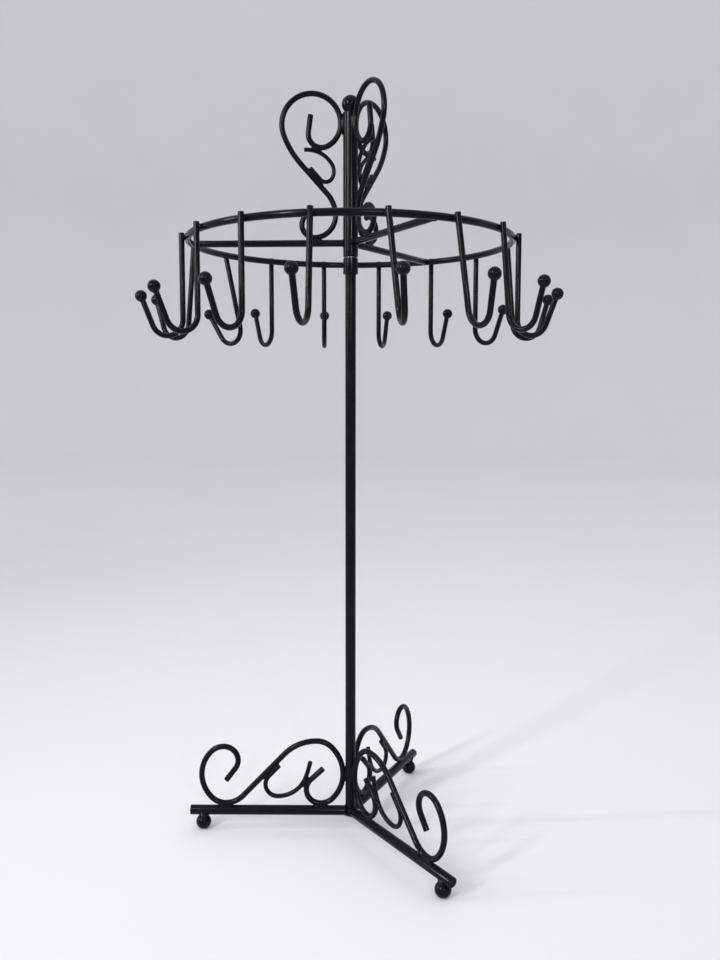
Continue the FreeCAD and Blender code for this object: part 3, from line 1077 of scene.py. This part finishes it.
class STAND_OT_arms(bpy.types.Operator):
    """Make the three arms and their ball feet"""

    bl_idname = "stand.arms"
    bl_label = "Arms and feet"

    def execute(self, context):
        stand = context.scene.necklace_stand
        rods = stand.rods
        paint = finish(stand.finish, "black_paint_coat")
        rubbed = finish(stand.finish, "rubbed_paint")
        for place in PLACES:
            azimuth = azimuth_of(f"foot_{place}")
            foot = middle(f"foot_{place}")
            reach = math.hypot(foot.x, foot.y)
            wire = half_height(f"arm_{place}")
            start = flat(half_width("pole") - rods.end_round, middle(f"arm_{place}").z)
            out = reach + rods.foot_inset - start.x
            arm = bent_wire(wire, start, [(0, [(out, 0)])], rods.end_round)
            as_piece(f"arm_rod_{place}", spun(arm, azimuth), "base", paint, [f"arm_{place}"])
            foot_mesh = self.foot(rods, place, reach)
            as_piece(f"foot_ball_{place}", spun(foot_mesh, azimuth), "base", rubbed, [f"foot_{place}"])
        return {"FINISHED"}

    def foot(self, rods, place, reach):
        """Ball with a worn flat below and a neck of weld up into the arm."""
        ball = half_width(f"foot_{place}")
        lift = math.sqrt(ball ** 2 - rods.foot_flat ** 2)
        dip = math.atan2(lift, rods.foot_flat)
        arm_axis = middle(f"arm_{place}").z
        neck = half_height(f"arm_{place}") * FOOT_NECK_SHARE
        rise = math.acos(neck / ball) * FOOT_RISE_SHARE
        runs = [
            (rods.foot_flat, 0),
            (0, QUARTER - dip),
            (ball, dip + rise),
        ]
        shoulder, heading = stations(flat(0, 0), 0, runs)[-1]
        runs += [
            (0, QUARTER * FOOT_TAPER_SHARE - heading),
            (arm_axis - shoulder.z, 0),
        ]
        top, heading = stations(flat(0, 0), 0, runs)[-1]
        runs += [(0, math.pi - heading), (top.x, 0)]
        mesh = turned_piece(flat(0, 0), 0, runs)
        layer = touch_layer(mesh)
        for vert in mesh.verts:
            vert[layer] = max(0, 1 - vert.co.z / (ball * FOOT_WEAR_SHARE))
        bmesh.ops.translate(mesh, verts=mesh.verts, vec=flat(reach, 0))
        return mesh


class STAND_OT_scrolls(bpy.types.Operator):
    """Make the large and small scrolls on the arms"""

    bl_idname = "stand.scrolls"
    bl_label = "Base scrolls"

    def execute(self, context):
        stand = context.scene.necklace_stand
        paint = finish(stand.finish, "black_paint_coat")
        routes = (("large", large_route), ("small", small_route))
        for size, route in routes:
            start, legs = route(stand)[:2]
            for place in PLACES:
                wire = bent_wire(getattr(stand.gauges, size), start, legs, stand.rods.end_round)
                spun(wire, azimuth_of(f"foot_{place}"))
                as_piece(f"{size}_scroll_wire_{place}", wire, "base", paint, [f"scroll_{size}_{place}"])
        return {"FINISHED"}


class STAND_OT_ring(bpy.types.Operator):
    """Make the ring and its three spokes"""

    bl_idname = "stand.ring"
    bl_label = "Ring and spokes"

    def execute(self, context):
        stand = context.scene.necklace_stand
        paint = finish(stand.finish, "black_paint_coat")
        wire = half_height("ring")
        inside = half_width("ring") - 2 * wire
        as_piece("ring_wire", self.ring(wire, inside + wire), "head", paint, ["ring"])
        start = flat(half_width("head_tube") - stand.rods.set_down, middle("ring").z)
        runs = [(inside + stand.rods.set_down - start.x, 0)]
        for place in PLACES:
            spoke = bent_wire(half_height(f"spoke_{place}"), start, [(0, runs)], stand.rods.end_round)
            spun(spoke, azimuth_of(f"spoke_{place}"))
            as_piece(f"spoke_rod_{place}", spoke, "head", paint, [f"spoke_{place}"])
        return {"FINISHED"}

    def ring(self, wire, radius):
        """Wire spun once round the pole's axis."""
        mesh = bmesh.new()
        face = Matrix.Translation(flat(radius, middle("ring").z)) @ Matrix.Rotation(QUARTER, 4, "X")
        bmesh.ops.create_circle(mesh, segments=WIRE_SIDES, radius=wire, matrix=face)
        full_spin(mesh, RING_STEPS)
        bmesh.ops.recalc_face_normals(mesh, faces=mesh.faces)
        return smoothed(mesh)


class STAND_OT_hearts(bpy.types.Operator):
    """Make the heart scrolls and their thin curls"""

    bl_idname = "stand.hearts"
    bl_label = "Hearts"

    def execute(self, context):
        stand = context.scene.necklace_stand
        paint = finish(stand.finish, "black_paint_coat")
        pieces = (("heart", "heart", heart_route), ("curl", "heart_curl", curl_route))
        for gauge, node, route in pieces:
            start, legs = route(stand)[:2]
            for place in PLACES:
                wire = bent_wire(getattr(stand.gauges, gauge), start, legs, stand.rods.end_round)
                spun(wire, azimuth_of(f"spoke_{place}"))
                as_piece(f"{node}_wire_{place}", wire, "head", paint, [f"{node}_{place}"])
        return {"FINISHED"}


class STAND_OT_hooks(bpy.types.Operator):
    """Make the J hooks and their ball tips"""

    bl_idname = "stand.hooks"
    bl_label = "Hooks"

    def execute(self, context):
        stand = context.scene.necklace_stand
        rubbed = finish(stand.finish, "rubbed_paint")
        paint = finish(stand.finish, "black_paint_coat")
        for number in range(1, stand.hook.count + 1):
            placing = hook_placing(stand, number)
            wire = self.hook(stand)
            bmesh.ops.transform(wire, matrix=placing, verts=wire.verts)
            as_piece(f"hook_wire_{number:02d}", wire, "head", rubbed, [f"hook_{number:02d}"])
            ball = self.ball(stand)
            bmesh.ops.transform(ball, matrix=placing, verts=ball.verts)
            as_piece(f"hook_tip_{number:02d}", ball, "head", paint, [f"hook_ball_{number:02d}"])
        return {"FINISHED"}

    def hook(self, stand):
        """Hook wire, with the inside of its bend marked as touched by chains."""
        start, legs, bend_middle = hook_route(stand)
        mesh = bent_wire(stand.gauges.hook, start, legs, stand.rods.end_round)
        layer = touch_layer(mesh)
        wire = stand.gauges.hook
        for vert in mesh.verts:
            away = vert.co - bend_middle
            inside = (stand.hook.bend - math.hypot(away.x, away.z)) / wire
            low = CHAIN_WEAR_GAIN * -away.z / stand.hook.bend
            vert[layer] = stand.finish.chain_wear * max(0, min(1, inside)) * max(0, min(1, low))
        return mesh

    def ball(self, stand):
        """Ball tip with a paint fillet down onto the wire."""
        start, legs, _ = hook_route(stand)
        heading, runs = legs[0]
        centre, heading = stations(start, heading, runs)[-1]
        radius = half_width("hook_ball_01")
        wire = stand.gauges.hook
        fillet = stand.hook.neck
        drop = math.sqrt((radius + fillet) ** 2 - (wire + fillet) ** 2)
        dip = math.atan2(drop, wire + fillet)
        profile = [
            (wire, 0),
            (0, QUARTER),
            (fillet, -dip),
            (radius, QUARTER + dip),
        ]
        mesh = turned_piece(flat(0, -drop), 0, profile)
        place = Matrix.Translation(centre) @ Matrix.Rotation(QUARTER - heading, 4, "Y")
        bmesh.ops.transform(mesh, matrix=place, verts=mesh.verts)
        return mesh


class STAND_OT_base_welds(bpy.types.Operator):
    """Make the weld beads of the base"""

    bl_idname = "stand.base_welds"
    bl_label = "Base welds"

    def execute(self, context):
        stand = context.scene.necklace_stand
        paint = finish(stand.finish, "black_paint_coat")
        large_spots = large_route(stand)[2]
        small_spots = small_route(stand)[2]
        for place in PLACES:
            azimuth = azimuth_of(f"foot_{place}")
            wire = half_height(f"arm_{place}")
            meshes = [
                beads(stand, large_spots, stand.gauges.large, azimuth),
                beads(stand, small_spots, stand.gauges.small, azimuth),
                butt_bead(stand, flat(half_width("pole"), middle(f"arm_{place}").z), wire, azimuth),
            ]
            as_piece(f"base_welds_{place}", joined(meshes), "base", paint)
        return {"FINISHED"}


class STAND_OT_head_welds(bpy.types.Operator):
    """Make the weld beads of the head"""

    bl_idname = "stand.head_welds"
    bl_label = "Head welds"

    def execute(self, context):
        stand = context.scene.necklace_stand
        paint = finish(stand.finish, "black_paint_coat")
        heart_spots = heart_route(stand)[2]
        curl_spots = curl_route(stand)[2]
        ring_z = middle("ring").z
        inside = half_width("ring") - 2 * half_height("ring")
        for place in PLACES:
            azimuth = azimuth_of(f"spoke_{place}")
            wire = half_height(f"spoke_{place}")
            meshes = [
                beads(stand, heart_spots[:1], stand.gauges.heart * stand.weld.tube_weld_share, azimuth),
                beads(stand, heart_spots[1:], stand.gauges.heart, azimuth),
                beads(stand, curl_spots, stand.gauges.curl, azimuth),
                butt_bead(stand, flat(half_width("head_tube"), ring_z), wire, azimuth),
                butt_bead(stand, flat(inside, ring_z), wire, azimuth),
            ]
            as_piece(f"head_welds_{place}", joined(meshes), "head", paint)
        as_piece("hook_welds", joined(self.hook_beads(stand)), "head", paint)
        return {"FINISHED"}

    def hook_beads(self, stand):
        """Squeezed-out metal where each hook crosses the ring."""
        sizes = stand.weld
        wire = stand.gauges.hook
        reach = wire * sizes.cross_length_share
        meshes = []
        for number in range(1, stand.hook.count + 1):
            mesh = bmesh.new()
            spot = flat(half_width("ring"), middle("ring").z)
            bead(mesh, spot, QUARTER, reach, reach, wire * sizes.cross_depth_share, sizes.lump_share)
            bmesh.ops.transform(mesh, matrix=hook_placing(stand, number), verts=mesh.verts)
            meshes.append(mesh)
        return meshes


class STAND_OT_stage(bpy.types.Operator):
    """Make the floor, the lamps, the sky and the camera"""

    bl_idname = "stand.stage"
    bl_label = "Stage"

    def execute(self, context):
        stand = context.scene.necklace_stand
        look = stand.stage
        self.floor(look, finish(stand.finish, "pale_floor"))
        self.lamp("key_window", look.key, look.key_place, look.key_size, look.beam)
        self.lamp("left_strip", look.side, look.side_place, look.side_size, look.beam)
        self.lamp("front_window", look.front, look.front_place, look.front_size, look.beam)
        self.sky(look)
        self.camera(look)
        context.scene.view_settings.view_transform = "Standard"
        return {"FINISHED"}

    def floor(self, look, material):
        """Round floor that bends up into a wall."""
        runs = [(look.floor_radius, 0), (look.cove_radius, QUARTER), (look.wall, 0)]
        mesh = turned_piece(flat(0, 0), 0, runs)
        if sum(face.normal.z for face in mesh.faces) < 0:
            bmesh.ops.reverse_faces(mesh, faces=mesh.faces)
        as_object("floor", mesh, material)

    def lamp(self, name, watts, spot, size, beam):
        """Soft rectangular lamp with a grid, facing the middle of the stand."""
        light = bpy.data.lights.new(name, "AREA")
        light.shape = "RECTANGLE"
        light.size, light.size_y = size
        light.energy = watts
        light.spread = beam
        lamp = in_scene(name, light)
        lamp.location = spot
        aim = Vector((0, 0, CAD_BOX[1][2] / 2)) - Vector(spot)
        lamp.rotation_euler = aim.to_track_quat("-Z", "Y").to_euler()

    def sky(self, look):
        """Even light from all around."""
        world = bpy.data.worlds.new("even_sky")
        world.use_nodes = True
        shade = world.node_tree.nodes["Background"]
        shade.inputs["Color"].default_value = (*look.sky_colour, 1)
        shade.inputs["Strength"].default_value = look.sky
        bpy.context.scene.world = world

    def camera(self, look):
        """Camera at the photographed view."""
        lens = bpy.data.cameras.new("photo_view")
        lens.lens = look.lens
        lens.sensor_width = look.sensor
        camera = in_scene("photo_view", lens)
        turn = (
            Matrix.Rotation(-look.yaw, 4, "Z")
            @ Matrix.Rotation(QUARTER + look.pitch, 4, "X")
            @ Matrix.Rotation(look.roll, 4, "Z")
        )
        camera.matrix_world = Matrix.Translation(look.camera) @ turn
        bpy.context.scene.camera = camera


class STAND_PT_builder(bpy.types.Panel):
    """Lists the steps that build the stand"""

    bl_idname = "STAND_PT_builder"
    bl_label = "Necklace stand"
    bl_space_type = "VIEW_3D"
    bl_region_type = "UI"
    bl_category = "Stand"

    def draw(self, context):
        for step in STEPS:
            self.layout.operator(step.bl_idname)


STEPS = (
    STAND_OT_turned_pieces,
    STAND_OT_arms,
    STAND_OT_scrolls,
    STAND_OT_ring,
    STAND_OT_hearts,
    STAND_OT_hooks,
    STAND_OT_base_welds,
    STAND_OT_head_welds,
    STAND_OT_stage,
)
GROUPS = (
    RodSizes,
    WireGauges,
    LargeScrollSizes,
    SmallScrollSizes,
    HeartSizes,
    HeartCurlSizes,
    HookSizes,
    WeldSizes,
    FinishLook,
    StageLook,
    StandSettings,
)


def register():
    for group in GROUPS:
        bpy.utils.register_class(group)
    bpy.types.Scene.necklace_stand = PointerProperty(type=StandSettings)
    for step in STEPS:
        bpy.utils.register_class(step)
    bpy.utils.register_class(STAND_PT_builder)


def unregister():
    bpy.utils.unregister_class(STAND_PT_builder)
    for step in reversed(STEPS):
        bpy.utils.unregister_class(step)
    del bpy.types.Scene.necklace_stand
    for group in reversed(GROUPS):
        bpy.utils.unregister_class(group)


def main():
    """Build the stand step by step."""
    register()
    for step in STEPS:
        family, name = step.bl_idname.split(".")
        getattr(getattr(bpy.ops, family), name)()


if __name__ == "__main__":
    main()
